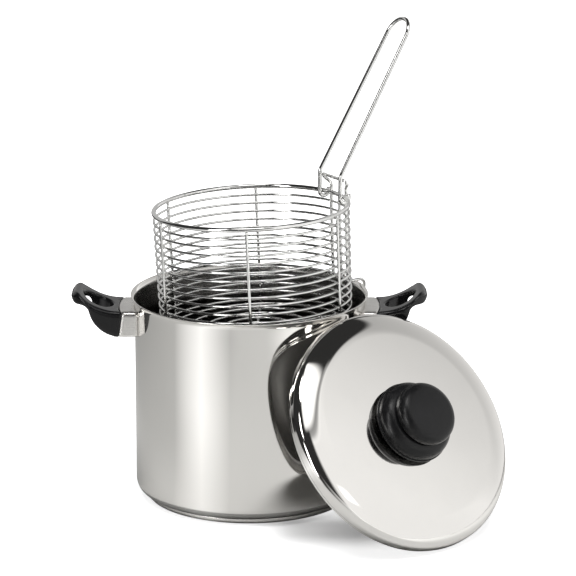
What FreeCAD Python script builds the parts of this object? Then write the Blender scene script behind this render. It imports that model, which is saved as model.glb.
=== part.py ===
import FreeCAD, Part
import math
import os

# Stove-top deep fryer: a steel pot with two side handles, a wire basket that hangs
# on the rim by its drain hook, the basket's folding wire handle, and a domed lid
# that leans on the pot's wall. Millimetres, Z up, origin at the middle of the base
# on the table, side handles along X.

V = FreeCAD.Vector
UP = V(0, 0, 1)

# Pot
pot_radius = 110.0
pot_height = 198.0
pot_wall = 1.0
pot_corner_radius = 11.0
lip_bend_radius = 6.0
lip_bend_angle = 65.0

# Layered base under the pot
base_thickness = 5.2
base_inset = 10.0
base_radius = pot_radius - base_inset
base_skin = 0.8
base_edge_radius = 2.5
base_seam = 0.3
base_core_gap = 0.6

# Side handles
grip_reach = 60.0
grip_half_width = 30.0
grip_root_height = 24.5
grip_root_drop = 10.5
grip_root_straight = 12.0
grip_tip_rise = 6.5
grip_tip_thickness = 11.0
grip_under_radius = 31.0
grip_hollow_radius = 8.0
grip_corner_radius = 24.0
grip_corner_overhang = 3.0
grip_edge_fillet = 2.0
slot_half_width = 17.0
slot_half_length = 14.0
slot_root_wall = 2.5
ferrule_length = 14.5
ferrule_rake = 3.5
ferrule_wall = 1.2
weld_plate_half_width = 16.0
weld_plate_height = 15.0
weld_plate_thickness = 2.0
boss_radius = 5.0
screw_radius = 2.4
screw_head_radius = 4.6
screw_head_height = 2.6
screw_clearance = 0.1
screw_bite = 6.0
fit_gap = 0.1

# Basket
basket_clearance = 16.2
top_ring_radius = pot_radius - pot_wall - basket_clearance
top_ring_wire = 4.4
side_ring_wire = 2.4
upright_wire = 2.8
upright_offset = 3.1
side_ring_count = 14
first_ring_drop = 8.8
side_ring_pitch = 8.1
basket_taper = 0.014
upright_count = 6
bottom_drop = 6.0
bottom_ring_count = 5
bottom_ring_inner_radius = 15.0
bottom_bend_radius = 6.0
weld_touch = 0.05
basket_azimuth = 28.0
basket_lean = 2.6
basket_lean_azimuth = 164.0
hook_below_ring = 84.4

# Folding basket handle
handle_wire = 4.0
handle_half_width = 20.5
handle_end_half_width = 17.2
handle_ring_clearance = 0.75
handle_tip_rise = 3.0
handle_lower_angle = 3.9
handle_upper_angle = 32.0
handle_kink_rise = 21.0
handle_leg_length = 148.0
handle_kink_bend = 6.0
handle_stop_gap = 0.3

# Hanger wire: handle stop above the top ring, drain hook at the rim
hanger_wire = 3.2
hanger_inset = 6.0
hanger_half_width = handle_half_width - hanger_inset
hanger_bend_radius = 4.5
stop_bar_rise = 16.5
stop_bar_overhang = 9.5
stop_bar_half_width = handle_half_width + stop_bar_overhang
stop_bar_bend = 3.0
stop_arm_rise = 8.0
hook_seat_offset = 6.0
hook_overhang = 4.6
hook_drop = 11.0
hook_seat_gap = 0.3

# Lid
lid_band_height = 4.0
lid_skirt_height = 9.0
lid_corner_radius = 8.0
lid_corner_angle = 62.0
lid_shoulder_radius = 52.0
lid_apex_height = 24.5
lid_wall = 0.8
lid_lip_clearance = 1.1357
lid_step = 1.1
lip_edge_radius = pot_radius + lip_bend_radius * (1 - math.cos(math.radians(lip_bend_angle)))
lid_rim_radius = lip_edge_radius + lid_lip_clearance + lid_wall
lid_skirt_radius = lid_rim_radius + lid_step
lid_hole_radius = 3.0
lid_tilt = 35.6
lid_azimuth = -50.6
lid_side_distance = 26.7
lid_front_distance = 150.0
lid_side_offset = pot_radius + lid_side_distance
lid_start_distance = pot_radius + lid_front_distance
lid_lean_gap = 0.3
lid_floor_gap = 0.2

# Knob, heights above the lid's crown
knob_foot_radius = 17.0
knob_foot_height = 1.6
knob_flange_radius = 38.8
knob_flange_height = 3.4
knob_flange_edge = 2.4
knob_flange_step = 1.3
knob_shoulder_height = 20.5
knob_neck_radius = 25.5
knob_cap_radius = 30.0
knob_cap_bottom = 23.5
knob_cap_lip = 1.0
knob_cap_edge = 3.5
knob_cap_corner = 9.5
knob_height = 38.0
insert_radius = 4.5
insert_length = 14.0
knob_screw_radius = 2.4
knob_screw_bite = 10.0
washer_radius = 8.0
washer_thickness = 1.0
knob_screw_head_radius = 5.0
knob_screw_head_height = 2.8


def save(name, shape):
    """Write one node, after testing that its solid is sound."""
    if not shape.isValid():
        raise ValueError(name + " is not a sound solid")
    shape.exportStep("parts/" + name + ".step")


def placed(shape, place):
    """A copy of a shape carried from its own upright frame to its place."""
    copy = shape.copy()
    copy.Placement = place.multiply(shape.Placement)
    return copy


def line(a, b):
    return Part.LineSegment(a, b).toShape()


def arc(a, middle, b):
    return Part.Arc(a, middle, b).toShape()


def revolve(edges):
    """Turn a closed outline in the XZ plane once round the Z axis."""
    face = Part.Face(Part.Wire(Part.__sortEdges__(edges)))
    solid = Part.Solid(face.revolve(V(0, 0, 0), UP, 360))
    if solid.Volume < 0:
        solid.reverse()
    return solid


def prism(edges, direction):
    """Carry a closed flat outline along a direction."""
    return Part.Face(Part.Wire(Part.__sortEdges__(edges))).extrude(direction)


def on_circle(centre, radius, angle):
    """A point in the XZ plane on a circle, its angle counted from +X towards +Z."""
    turn = math.radians(angle)
    return centre + V(radius * math.cos(turn), 0, radius * math.sin(turn))


def arc_about(centre, radius, start, end):
    """An arc in the XZ plane about an exact centre, from the smaller angle to the larger."""
    edge = Part.makeCircle(radius, V(0, 0, 0), UP, start, end)
    edge.rotate(V(0, 0, 0), V(1, 0, 0), 90)
    return edge.translated(centre)


def bent_path(points, radii):
    """Straight runs joined by tangent arcs; radii holds one bend per inner point."""
    edges = []
    start = points[0]
    for before, corner, after, radius in zip(points, points[1:], points[2:], radii):
        inward = (before - corner).normalize()
        outward = (after - corner).normalize()
        half_angle = inward.getAngle(outward) / 2
        reach = radius / math.tan(half_angle)
        bend_start = corner + inward * reach
        bend_end = corner + outward * reach
        bisector = (inward + outward).normalize()
        middle = corner + bisector * (radius / math.sin(half_angle) - radius)
        if (bend_start - start).Length > 1e-6:
            edges.append(line(start, bend_start))
        edges.append(arc(bend_start, middle, bend_end))
        start = bend_end
    if (points[-1] - start).Length > 1e-6:
        edges.append(line(start, points[-1]))
    return Part.Wire(edges)


def bent_wire(points, radii, diameter):
    """A round wire along a bent path, checked against section times length."""
    path = bent_path(points, radii)
    direction = (points[1] - points[0]).normalize()
    section = Part.Wire(Part.Circle(points[0], direction, diameter / 2).toShape())
    solid = path.makePipeShell([section], True, False)
    expected = math.pi * diameter ** 2 / 4 * path.Length
    if abs(solid.Volume / expected - 1) > 0.02:
        raise ValueError("a bent wire came out with the wrong volume")
    return solid


# Pot and base

def pot_shell():
    """Drawn pot: flat floor, rounded corner, straight wall and a lip bent outwards."""
    corner = V(pot_radius - pot_corner_radius, 0, base_thickness + pot_corner_radius)
    rise = lip_bend_radius * math.sin(math.radians(lip_bend_angle))
    bend = V(pot_radius + lip_bend_radius, 0, pot_height - rise)
    end = 180 - lip_bend_angle
    inner_corner = pot_corner_radius - pot_wall
    inner_bend = lip_bend_radius + pot_wall
    outer = [
        line(V(0, 0, base_thickness), V(corner.x, 0, base_thickness)),
        arc(on_circle(corner, pot_corner_radius, -90), on_circle(corner, pot_corner_radius, -45),
            on_circle(corner, pot_corner_radius, 0)),
        line(on_circle(corner, pot_corner_radius, 0), on_circle(bend, lip_bend_radius, 180)),
        arc(on_circle(bend, lip_bend_radius, 180), on_circle(bend, lip_bend_radius, 90 + end / 2),
            on_circle(bend, lip_bend_radius, end)),
        line(on_circle(bend, lip_bend_radius, end), on_circle(bend, inner_bend, end)),
    ]
    inner = [
        arc(on_circle(bend, inner_bend, end), on_circle(bend, inner_bend, 90 + end / 2),
            on_circle(bend, inner_bend, 180)),
        line(on_circle(bend, inner_bend, 180), on_circle(corner, inner_corner, 0)),
        arc(on_circle(corner, inner_corner, 0), on_circle(corner, inner_corner, -45),
            on_circle(corner, inner_corner, -90)),
        line(on_circle(corner, inner_corner, -90), V(0, 0, base_thickness + pot_wall)),
        line(V(0, 0, base_thickness + pot_wall), V(0, 0, base_thickness)),
    ]
    return revolve(outer + inner)


def lip_top():
    """Height of the lip's highest point, which the drain hook sits on."""
    rise = lip_bend_radius * math.sin(math.radians(lip_bend_angle))
    wall_end = (lip_bend_radius + pot_wall) * math.sin(math.radians(lip_bend_angle))
    return pot_height - rise + wall_end


def lip_crown_radius():
    inner_bend = lip_bend_radius + pot_wall
    return pot_radius + lip_bend_radius - inner_bend * math.cos(math.radians(lip_bend_angle))


def base_core():
    """Aluminium heat-spreading disc between the pot's floor and the steel cap."""
    radius = base_radius - base_skin - base_core_gap
    height = base_thickness - base_skin - base_seam
    return Part.makeCylinder(radius, height, V(0, 0, base_skin))


def base_cap():
    """Shallow steel cup that closes the base from below, with a rounded edge."""
    edge = V(base_radius - base_edge_radius, 0, base_edge_radius)
    top = base_thickness - base_seam
    wall = base_radius - base_skin
    return revolve([
        line(V(0, 0, 0), V(edge.x, 0, 0)),
        arc(on_circle(edge, base_edge_radius, -90), on_circle(edge, base_edge_radius, -45),
            on_circle(edge, base_edge_radius, 0)),
        line(on_circle(edge, base_edge_radius, 0), V(base_radius, 0, top)),
        line(V(base_radius, 0, top), V(wall, 0, top)),
        line(V(wall, 0, top), V(wall, 0, base_skin)),
        line(V(wall, 0, base_skin), V(0, 0, base_skin)),
        line(V(0, 0, base_skin), V(0, 0, 0)),
    ])


# Side handles, made on +X and turned half round for the left one

root_top = pot_height - grip_root_drop
root_bottom = root_top - grip_root_height
root_middle = (root_top + root_bottom) / 2
joint_top = pot_radius + ferrule_length
joint_bottom = joint_top + ferrule_rake
joint_middle = (joint_top + joint_bottom) / 2
grip_tip = pot_radius + grip_reach
tip_radius = grip_tip_thickness / 2
tip_centre = V(grip_tip - tip_radius, 0, pot_height + grip_tip_rise - tip_radius)
slot_root = joint_bottom + slot_root_wall


def wall_cylinder(radius):
    return Part.makeCylinder(radius, pot_height + grip_reach)


def joint_cone(offset):
    """Raked round joint between ferrule and grip, coaxial with the pot."""
    slope = ferrule_rake / grip_root_height
    low = joint_bottom + slope * root_bottom + offset
    rise = root_top + grip_root_height
    return Part.makeCone(low, low - slope * rise, rise)


def root_block(inset, end):
    """Box with softened long edges that the ferrule and the grip's tenon are cut from."""
    height = grip_root_height - 2 * inset
    box = Part.makeBox(end, 2 * (grip_half_width - inset), height,
                       V(0, inset - grip_half_width, root_bottom + inset))
    along = [e for e in box.Edges if abs(e.tangentAt(e.FirstParameter).x) > 0.99]
    return box.makeFillet(grip_edge_fillet - inset / 2, along)


def handle_ferrule():
    """Pressed steel guard between grip and pot: a thin sleeve that follows the wall."""
    sleeve = root_block(0, grip_tip).cut(root_block(ferrule_wall, grip_tip))
    return sleeve.common(joint_cone(-fit_gap)).cut(wall_cylinder(pot_radius + fit_gap))


def handle_bracket():
    """Plate welded to the pot's wall, carrying a threaded boss for the grip's screw."""
    wall = wall_cylinder(pot_radius + fit_gap)
    plate = wall_cylinder(pot_radius + fit_gap + weld_plate_thickness).cut(wall)
    window = Part.makeBox(pot_radius, 2 * weld_plate_half_width, weld_plate_height,
                          V(pot_radius / 2, -weld_plate_half_width, root_middle - weld_plate_height / 2))
    boss = Part.makeCylinder(boss_radius, joint_middle, V(0, 0, root_middle), V(1, 0, 0)).cut(wall)
    bore = Part.makeCylinder(screw_radius + screw_clearance, joint_middle,
                             V(joint_middle - screw_bite - 1, 0, root_middle), V(1, 0, 0))
    return plate.common(window).fuse(boss).removeSplitter().cut(bore)


def grip_side():
    """Side view carried across: level root, hollow sweep up to a round tip, a full
    belly below and a small hollow under the tip. All arcs run tangent into each other."""
    start = V(pot_radius + grip_root_straight, 0, root_top)
    run = tip_centre.x - start.x
    climb = tip_centre.z - root_top
    sweep = (run ** 2 + climb ** 2 - tip_radius ** 2) / (2 * (climb + tip_radius))
    sweep_centre = start + V(0, 0, sweep)
    sweep_end = math.degrees(math.atan2(tip_centre.z - sweep_centre.z, run))
    belly_centre = V(start.x, 0, root_bottom + grip_under_radius)
    hollow_height = tip_centre.z - tip_radius - grip_hollow_radius
    reach = grip_under_radius + grip_hollow_radius
    belly_end = math.degrees(math.asin((hollow_height - belly_centre.z) / reach))
    hollow_centre = on_circle(belly_centre, reach, belly_end)
    edges = [
        line(V(joint_top - boss_radius, 0, root_top), start),
        arc(start, on_circle(sweep_centre, sweep, (sweep_end - 90) / 2),
            on_circle(sweep_centre, sweep, sweep_end)),
        arc(on_circle(tip_centre, tip_radius, sweep_end + 180), V(grip_tip, 0, tip_centre.z),
            on_circle(tip_centre, tip_radius, -90)),
        line(on_circle(tip_centre, tip_radius, -90), on_circle(hollow_centre, grip_hollow_radius, 90)),
        arc(on_circle(hollow_centre, grip_hollow_radius, 90),
            on_circle(hollow_centre, grip_hollow_radius, (270 + belly_end) / 2),
            on_circle(hollow_centre, grip_hollow_radius, 180 + belly_end)),
        arc(on_circle(belly_centre, grip_under_radius, belly_end),
            on_circle(belly_centre, grip_under_radius, (belly_end - 90) / 2),
            on_circle(belly_centre, grip_under_radius, -90)),
        line(on_circle(belly_centre, grip_under_radius, -90), V(joint_top - boss_radius, 0, root_bottom)),
        line(V(joint_top - boss_radius, 0, root_bottom), V(joint_top - boss_radius, 0, root_top)),
    ]
    side = [e.translated(V(0, -2 * grip_half_width, 0)) for e in edges]
    return prism(side, V(0, 4 * grip_half_width, 0))


def grip_plan():
    """Plan view carried up: straight sides and well rounded outer corners."""
    end = grip_tip + grip_corner_overhang
    box = Part.makeBox(end, 2 * grip_half_width, 2 * pot_height, V(0, -grip_half_width, 0))
    corners = [e for e in box.Edges if e.BoundBox.XMin > end - 1 and e.BoundBox.ZLength > pot_height]
    return box.makeFillet(grip_corner_radius, corners)


def finger_slot():
    """Oval finger hole, straight down through the grip."""
    centre = V(slot_root + slot_half_length, 0, 0)
    oval = Part.Ellipse(centre + V(0, slot_half_width, 0), centre + V(slot_half_length, 0, 0), centre)
    return prism([oval.toShape()], V(0, 0, 2 * pot_height))


def handle_grip():
    """Moulded black loop with softened edges and a tenon that fills the ferrule's mouth."""
    body = grip_side().common(grip_plan()).cut(finger_slot())
    edges = [e for e in body.Edges if e.BoundBox.XMax > joint_top]
    body = body.makeFillet(grip_edge_fillet, edges).cut(joint_cone(0))
    tenon = root_block(ferrule_wall + fit_gap, grip_tip).common(joint_cone(fit_gap))
    tenon = tenon.cut(joint_cone(-boss_radius))
    hole = Part.makeCylinder(screw_radius + screw_clearance, grip_reach,
                             V(pot_radius, 0, root_middle), V(1, 0, 0))
    socket = Part.makeCylinder(boss_radius + fit_gap, joint_middle + fit_gap,
                               V(0, 0, root_middle), V(1, 0, 0))
    return body.fuse(tenon).removeSplitter().cut(hole).cut(socket)


def handle_screw():
    """Pan-head screw, head in the finger slot, shank through the root into the boss."""
    seat = slot_root + fit_gap + screw_head_radius ** 2 * slot_half_length / (2 * slot_half_width ** 2)
    shank_end = joint_middle - screw_bite
    shank = Part.makeCylinder(screw_radius, seat - shank_end, V(shank_end, 0, root_middle), V(1, 0, 0))
    head = Part.makeCylinder(screw_head_radius, screw_head_height, V(seat, 0, root_middle), V(1, 0, 0))
    rim = [e for e in head.Edges if e.BoundBox.XMin > seat + screw_head_height / 2]
    return shank.fuse(head.makeFillet(screw_head_height / 2.5, rim)).removeSplitter()


# Basket, made upright with its handle side on +X and its top ring at height 0

def basket_frame():
    """Place of the basket: hung by its hook on the lip, turned to its side and leaning."""
    lean = math.radians(basket_lean_azimuth)
    axis = V(-math.sin(lean), math.cos(lean), 0)
    turn = FreeCAD.Rotation(axis, basket_lean) * FreeCAD.Rotation(UP, basket_azimuth)
    azimuth = math.radians(basket_azimuth)
    outward = V(math.cos(azimuth), math.sin(azimuth), 0)
    low_leg = hanger_half_width * abs(turn.multVec(V(0, 1, 0)).z)
    seat = outward * lip_crown_radius() + UP * (lip_top() + hook_seat_gap + hanger_wire / 2 + low_leg)
    hook = V(hook_seat_x(), 0, -hook_below_ring)
    return FreeCAD.Placement(seat - turn.multVec(hook), turn)


def upright_radius(height):
    return top_ring_radius + upright_offset + basket_taper * height


def upright_top():
    """Height at which an upright's inner edge meets the flank of the top ring."""
    beside = upright_radius(0) - upright_wire / 2 - top_ring_radius
    return -math.sqrt((top_ring_wire / 2 + weld_touch) ** 2 - beside ** 2)


def side_ring_radius(height):
    return upright_radius(height) - (upright_wire + side_ring_wire) / 2 - weld_touch


def side_ring_height(index):
    return -first_ring_drop - index * side_ring_pitch


basket_bottom = side_ring_height(side_ring_count - 1) - bottom_drop


def ring(radius, wire, height):
    return Part.makeTorus(radius, wire / 2, V(0, 0, height))


def basket_upright(azimuth):
    """One upright: ends on the flank of the top ring, runs down outside the side rings,
    turns in under the bottom rings and ends at the innermost one."""
    top = upright_top()
    end = bottom_ring_inner_radius - side_ring_wire / 2
    wire = bent_wire([V(upright_radius(top), 0, top), V(upright_radius(basket_bottom), 0, basket_bottom),
                      V(end, 0, basket_bottom)], [bottom_bend_radius], upright_wire)
    return wire.rotated(V(0, 0, 0), UP, azimuth)


def bottom_ring_radius(index):
    outer = side_ring_radius(basket_bottom) - bottom_bend_radius
    step = (outer - bottom_ring_inner_radius) / (bottom_ring_count - 1)
    return bottom_ring_inner_radius + index * step


def bottom_ring_height():
    return basket_bottom + (upright_wire + side_ring_wire) / 2 + weld_touch


def touching_x(ring_radius, ring_wire):
    """X of a hanger leg that lies against the outside of a ring."""
    radius = ring_radius + (ring_wire + hanger_wire) / 2 + weld_touch
    return math.sqrt(radius ** 2 - hanger_half_width ** 2)


def hook_seat_x():
    """Where the hook rests on the lip, counted from the basket's axis."""
    return lip_crown_radius() - hook_seat_offset


hinge_x = math.sqrt(top_ring_radius ** 2 - handle_half_width ** 2)
handle_eye_radius = (top_ring_wire + handle_wire) / 2 + handle_ring_clearance


def handle_inner_x():
    """X of the corner where the eye round the ring turns up into the lower leg."""
    turn = math.radians(90 + handle_lower_angle)
    return hinge_x - handle_eye_radius * math.tan(turn / 2)


def handle_leg_x(height):
    """X of the lower leg's centre line at a height above the top ring."""
    return handle_inner_x() + (height + handle_eye_radius) * math.tan(math.radians(handle_lower_angle))


def stop_bar_x():
    """Where the handle's legs come to rest on the stop bar."""
    reach = (handle_wire + hanger_wire) / 2 + handle_stop_gap
    return handle_leg_x(stop_bar_rise) + reach / math.cos(math.radians(handle_lower_angle))


def basket_hanger():
    """One bent wire: stop bar over the top ring, two legs down the basket's side, and a
    drain hook that bridges the pot's lip and turns down outside it."""
    ring_x = touching_x(top_ring_radius, top_ring_wire)
    side_x = touching_x(side_ring_radius(-first_ring_drop), side_ring_wire)
    leg_x = touching_x(side_ring_radius(-hook_below_ring), side_ring_wire)
    out_x = hook_seat_x() + hook_overhang
    half = [
        V(stop_bar_x(), hook_seat_gap, stop_bar_rise), V(stop_bar_x(), stop_bar_half_width, stop_bar_rise),
        V(ring_x, hanger_half_width, stop_arm_rise), V(ring_x, hanger_half_width, -top_ring_wire / 2),
        V(side_x, hanger_half_width, -first_ring_drop), V(leg_x, hanger_half_width, -hook_below_ring),
        V(out_x, hanger_half_width, -hook_below_ring),
        V(out_x, hanger_half_width, -hook_below_ring - hook_drop)]
    far = [V(p.x, -p.y, p.z) for p in reversed(half)]
    gentle = 2 * hanger_bend_radius
    bends = [stop_bar_bend, stop_bar_bend, hanger_bend_radius, gentle, hanger_bend_radius,
             hanger_bend_radius, hanger_bend_radius]
    return bent_wire(half + far, bends + bends[::-1], hanger_wire)


def handle_loop():
    """Folding handle: one wire whose ends hook round the top ring from inside, legs that
    lean on the stop bar, a kink outwards and a long loop with a round end."""
    eye = handle_eye_radius
    upper = math.radians(handle_upper_angle)
    kink = V(handle_leg_x(handle_kink_rise), handle_half_width, handle_kink_rise)
    end = kink + V(math.sin(upper), 0, math.cos(upper)) * (handle_leg_length + handle_end_half_width)
    end.y = handle_end_half_width
    half = [V(hinge_x + eye, handle_half_width, handle_tip_rise), V(hinge_x + eye, handle_half_width, -eye),
            V(handle_inner_x(), handle_half_width, -eye), kink, end]
    far = [V(p.x, -p.y, p.z) for p in reversed(half)]
    bends = [eye, eye, handle_kink_bend, handle_end_half_width]
    return bent_wire(half + far, bends + bends[::-1], handle_wire)


# Lid, made upright with its rim plane at height 0

def crown_radius(centre, radius, apex):
    """Radius of a crown about the Z axis that peaks at the apex and runs tangent into an arc."""
    drop = apex - centre.z
    return (centre.x ** 2 + drop ** 2 - radius ** 2) / (2 * (drop - radius))


def crown_angle(centre, radius, crown):
    """Angle at which the crown runs into the arc, counted from level."""
    return math.degrees(math.acos(centre.x / (crown - radius)))


def lid_corner_centre():
    return V(lid_skirt_radius - lid_corner_radius, 0, lid_skirt_height)


def lid_shoulder_centre():
    """Centre of the broad shoulder, which runs tangent out of the corner above the skirt."""
    return on_circle(lid_corner_centre(), lid_corner_radius - lid_shoulder_radius, lid_corner_angle)


def dome_radius():
    return crown_radius(lid_shoulder_centre(), lid_shoulder_radius, lid_apex_height)


def lid_shell():
    """Pressed lid: rim band, small step out to the skirt, round corner, broad shoulder and low dome."""
    corner = lid_corner_centre()
    shoulder = lid_shoulder_centre()
    crown = V(0, 0, lid_apex_height - dome_radius())
    slope = crown_angle(shoulder, lid_shoulder_radius, dome_radius())
    band_top = lid_band_height - lid_step

    def hole_angle(radius):
        return 90 - math.degrees(math.asin(lid_hole_radius / radius))

    def skin(depth):
        """Corner, shoulder and dome of the sheet at a depth below its outside."""
        dome = dome_radius() - depth
        return [arc_about(corner, lid_corner_radius - depth, 0, lid_corner_angle),
                arc_about(shoulder, lid_shoulder_radius - depth, lid_corner_angle, slope),
                arc_about(crown, dome, slope, hole_angle(dome))]

    outer = [V(lid_rim_radius, 0, 0), V(lid_rim_radius, 0, band_top),
             V(lid_skirt_radius, 0, lid_band_height), on_circle(corner, lid_corner_radius, 0)]
    inner = [V(p.x - lid_wall, 0, p.z) for p in outer]
    hole = [on_circle(crown, r, hole_angle(r)) for r in (dome_radius(), dome_radius() - lid_wall)]
    edges = [line(a, b) for a, b in zip(outer, outer[1:])] + [line(a, b) for a, b in zip(inner, inner[1:])]
    edges += skin(0) + skin(lid_wall) + [line(outer[0], inner[0]), line(hole[0], hole[1])]
    return revolve(edges)


def knob_profile_top():
    """Cap of the knob: groove, rounded lip, upright edge, soft corner and a low crown."""
    base = lid_apex_height
    bottom = base + knob_cap_bottom
    lip = V(knob_cap_radius - knob_cap_lip, 0, bottom + knob_cap_lip)
    corner = V(knob_cap_radius - knob_cap_corner, 0, bottom + knob_cap_edge)
    top = base + knob_height
    crown = crown_radius(corner, knob_cap_corner, top)
    slope = crown_angle(corner, knob_cap_corner, crown)
    return [
        line(V(knob_neck_radius, 0, base + knob_shoulder_height), V(knob_neck_radius, 0, bottom)),
        line(V(knob_neck_radius, 0, bottom), V(lip.x, 0, bottom)),
        arc_about(lip, knob_cap_lip, -90, 0),
        line(V(knob_cap_radius, 0, lip.z), V(knob_cap_radius, 0, corner.z)),
        arc_about(corner, knob_cap_corner, 0, slope),
        arc_about(V(0, 0, top - crown), crown, slope, 90),
    ]


def lid_knob():
    """Moulded knob: foot, wide flange with a stepped edge, round shoulder, groove and cap."""
    base = lid_apex_height + fit_gap
    flange = lid_apex_height + knob_flange_height
    edge = flange + knob_flange_edge
    shoulder_start = knob_flange_radius - knob_flange_step
    shoulder_top = lid_apex_height + knob_shoulder_height
    neck_start = knob_neck_radius + knob_flange_step
    edges = [
        line(V(0, 0, base), V(knob_foot_radius, 0, base)),
        line(V(knob_foot_radius, 0, base), V(knob_foot_radius, 0, lid_apex_height + knob_foot_height)),
        line(V(knob_foot_radius, 0, lid_apex_height + knob_foot_height),
             V(knob_flange_radius - knob_flange_step, 0, flange)),
        line(V(knob_flange_radius - knob_flange_step, 0, flange),
             V(knob_flange_radius, 0, flange + knob_flange_step)),
        line(V(knob_flange_radius, 0, flange + knob_flange_step), V(knob_flange_radius, 0, edge)),
        line(V(knob_flange_radius, 0, edge), V(shoulder_start, 0, edge)),
        arc(V(shoulder_start, 0, edge),
            V((2 * shoulder_start + neck_start) / 3 + knob_flange_step, 0, (edge + 2 * shoulder_top) / 3),
            V(neck_start, 0, shoulder_top)),
        line(V(neck_start, 0, shoulder_top), V(knob_neck_radius, 0, shoulder_top)),
        line(V(0, 0, lid_apex_height + knob_height), V(0, 0, base)),
    ]
    pocket = Part.makeCylinder(insert_radius + fit_gap, insert_length + fit_gap, V(0, 0, base))
    return revolve(edges + knob_profile_top()).cut(pocket)


def knob_insert():
    """Threaded brass sleeve moulded into the knob's foot."""
    base = lid_apex_height + fit_gap
    sleeve = Part.makeCylinder(insert_radius, insert_length, V(0, 0, base))
    return sleeve.cut(Part.makeCylinder(knob_screw_radius + screw_clearance, insert_length, V(0, 0, base)))


def washer_top():
    return lid_apex_height - lid_wall - fit_gap - washer_radius ** 2 / (2 * dome_radius())


def knob_washer():
    bottom = washer_top() - washer_thickness
    ring_body = Part.makeCylinder(washer_radius, washer_thickness, V(0, 0, bottom))
    return ring_body.cut(Part.makeCylinder(knob_screw_radius + fit_gap, washer_thickness, V(0, 0, bottom)))


def knob_screw():
    """Pan-head screw from inside the lid, through the washer into the knob's sleeve."""
    seat = washer_top() - washer_thickness - fit_gap
    shank = Part.makeCylinder(knob_screw_radius, lid_apex_height + knob_screw_bite - seat, V(0, 0, seat))
    head = Part.makeCylinder(knob_screw_head_radius, knob_screw_head_height,
                             V(0, 0, seat - knob_screw_head_height))
    rim = [e for e in head.Edges if e.BoundBox.ZMax < seat - knob_screw_head_height / 2]
    return shank.fuse(head.makeFillet(knob_screw_head_height / 2.5, rim)).removeSplitter()


def lid_frame(neighbours):
    """Place of the lid: rim on the table, tilted, and slid back until it leans on a neighbour."""
    turn = FreeCAD.Rotation(UP, lid_azimuth) * FreeCAD.Rotation(V(0, 1, 0), 90 - lid_tilt)
    height = lid_rim_radius * math.cos(math.radians(lid_tilt)) + lid_floor_gap
    rim_point = V(lid_side_offset, -lid_start_distance, height)
    rim_edge = Part.Circle(rim_point, turn.multVec(UP), lid_rim_radius).toShape()
    moved = 0.0
    gap = rim_edge.distToShape(neighbours)[0]
    while gap > lid_lean_gap + 0.01:
        moved += gap - lid_lean_gap
        gap = rim_edge.translated(V(0, moved, 0)).distToShape(neighbours)[0]
    return FreeCAD.Placement(rim_point + V(0, moved, 0), turn)


def make_pot():
    shell = pot_shell()
    save("pot_shell", shell)
    save("base_core", base_core())
    save("base_cap", base_cap())
    pieces = {"ferrule": handle_ferrule(), "bracket": handle_bracket(), "grip": handle_grip(),
              "screw": handle_screw()}
    for side, turn in (("right", 0), ("left", 180)):
        for name, shape in pieces.items():
            save(side + "_handle_" + name, shape.rotated(V(0, 0, 0), UP, turn))
    return Part.makeCompound([shell, pieces["ferrule"], pieces["grip"]])


def make_basket(place):
    def save_placed(name, shape):
        save(name, placed(shape, place))

    save_placed("basket_top_ring", ring(top_ring_radius, top_ring_wire, 0))
    for index in range(side_ring_count):
        height = side_ring_height(index)
        save_placed("basket_side_ring_%02d" % (index + 1),
                    ring(side_ring_radius(height), side_ring_wire, height))
    for index in range(bottom_ring_count):
        save_placed("basket_bottom_ring_%d" % (index + 1),
                    ring(bottom_ring_radius(index), side_ring_wire, bottom_ring_height()))
    for index in range(upright_count):
        save_placed("basket_upright_%d" % (index + 1), basket_upright(index * 360 / upright_count))
    save_placed("basket_hanger", basket_hanger())
    save_placed("basket_handle", handle_loop())


def make_lid(place):
    pieces = {"lid_shell": lid_shell(), "lid_knob": lid_knob(), "knob_insert": knob_insert(),
              "knob_washer": knob_washer(), "knob_screw": knob_screw()}
    for name, shape in pieces.items():
        save(name, placed(shape, place))


def main():
    os.makedirs("parts", exist_ok=True)
    neighbours = make_pot()
    basket_place = basket_frame()
    make_basket(basket_place)
    lid_place = lid_frame(neighbours)
    make_lid(lid_place)
    print("basket place", basket_place)
    print("handle hinge", basket_place.multVec(V(hinge_x, 0, 0)), basket_place.Rotation.multVec(V(0, 1, 0)))
    print("lid place", lid_place, "axis", lid_place.Rotation.multVec(UP))


main()
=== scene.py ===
import math

import bmesh
import bpy
import numpy as np
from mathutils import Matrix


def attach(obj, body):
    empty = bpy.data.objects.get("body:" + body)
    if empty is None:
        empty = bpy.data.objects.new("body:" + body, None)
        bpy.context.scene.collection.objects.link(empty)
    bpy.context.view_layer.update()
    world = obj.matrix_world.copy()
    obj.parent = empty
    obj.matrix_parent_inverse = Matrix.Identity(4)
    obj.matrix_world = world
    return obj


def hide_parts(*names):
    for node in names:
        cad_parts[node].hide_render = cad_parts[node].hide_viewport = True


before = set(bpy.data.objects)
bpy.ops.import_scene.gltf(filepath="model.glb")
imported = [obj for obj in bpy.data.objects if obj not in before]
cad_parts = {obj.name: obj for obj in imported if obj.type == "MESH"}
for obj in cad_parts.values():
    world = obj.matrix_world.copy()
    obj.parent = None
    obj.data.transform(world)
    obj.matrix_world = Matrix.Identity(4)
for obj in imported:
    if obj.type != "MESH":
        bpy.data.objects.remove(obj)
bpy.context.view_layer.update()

bl_info = {
    "name": "Stove-top deep fryer",
    "version": (1, 0, 0),
    "blender": (4, 5, 0),
    "location": "View3D > Sidebar > Fryer",
    "description": "Finished surfaces and materials of a polished steel fryer pot, its wire basket and its lid",
    "category": "Object",
}

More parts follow.
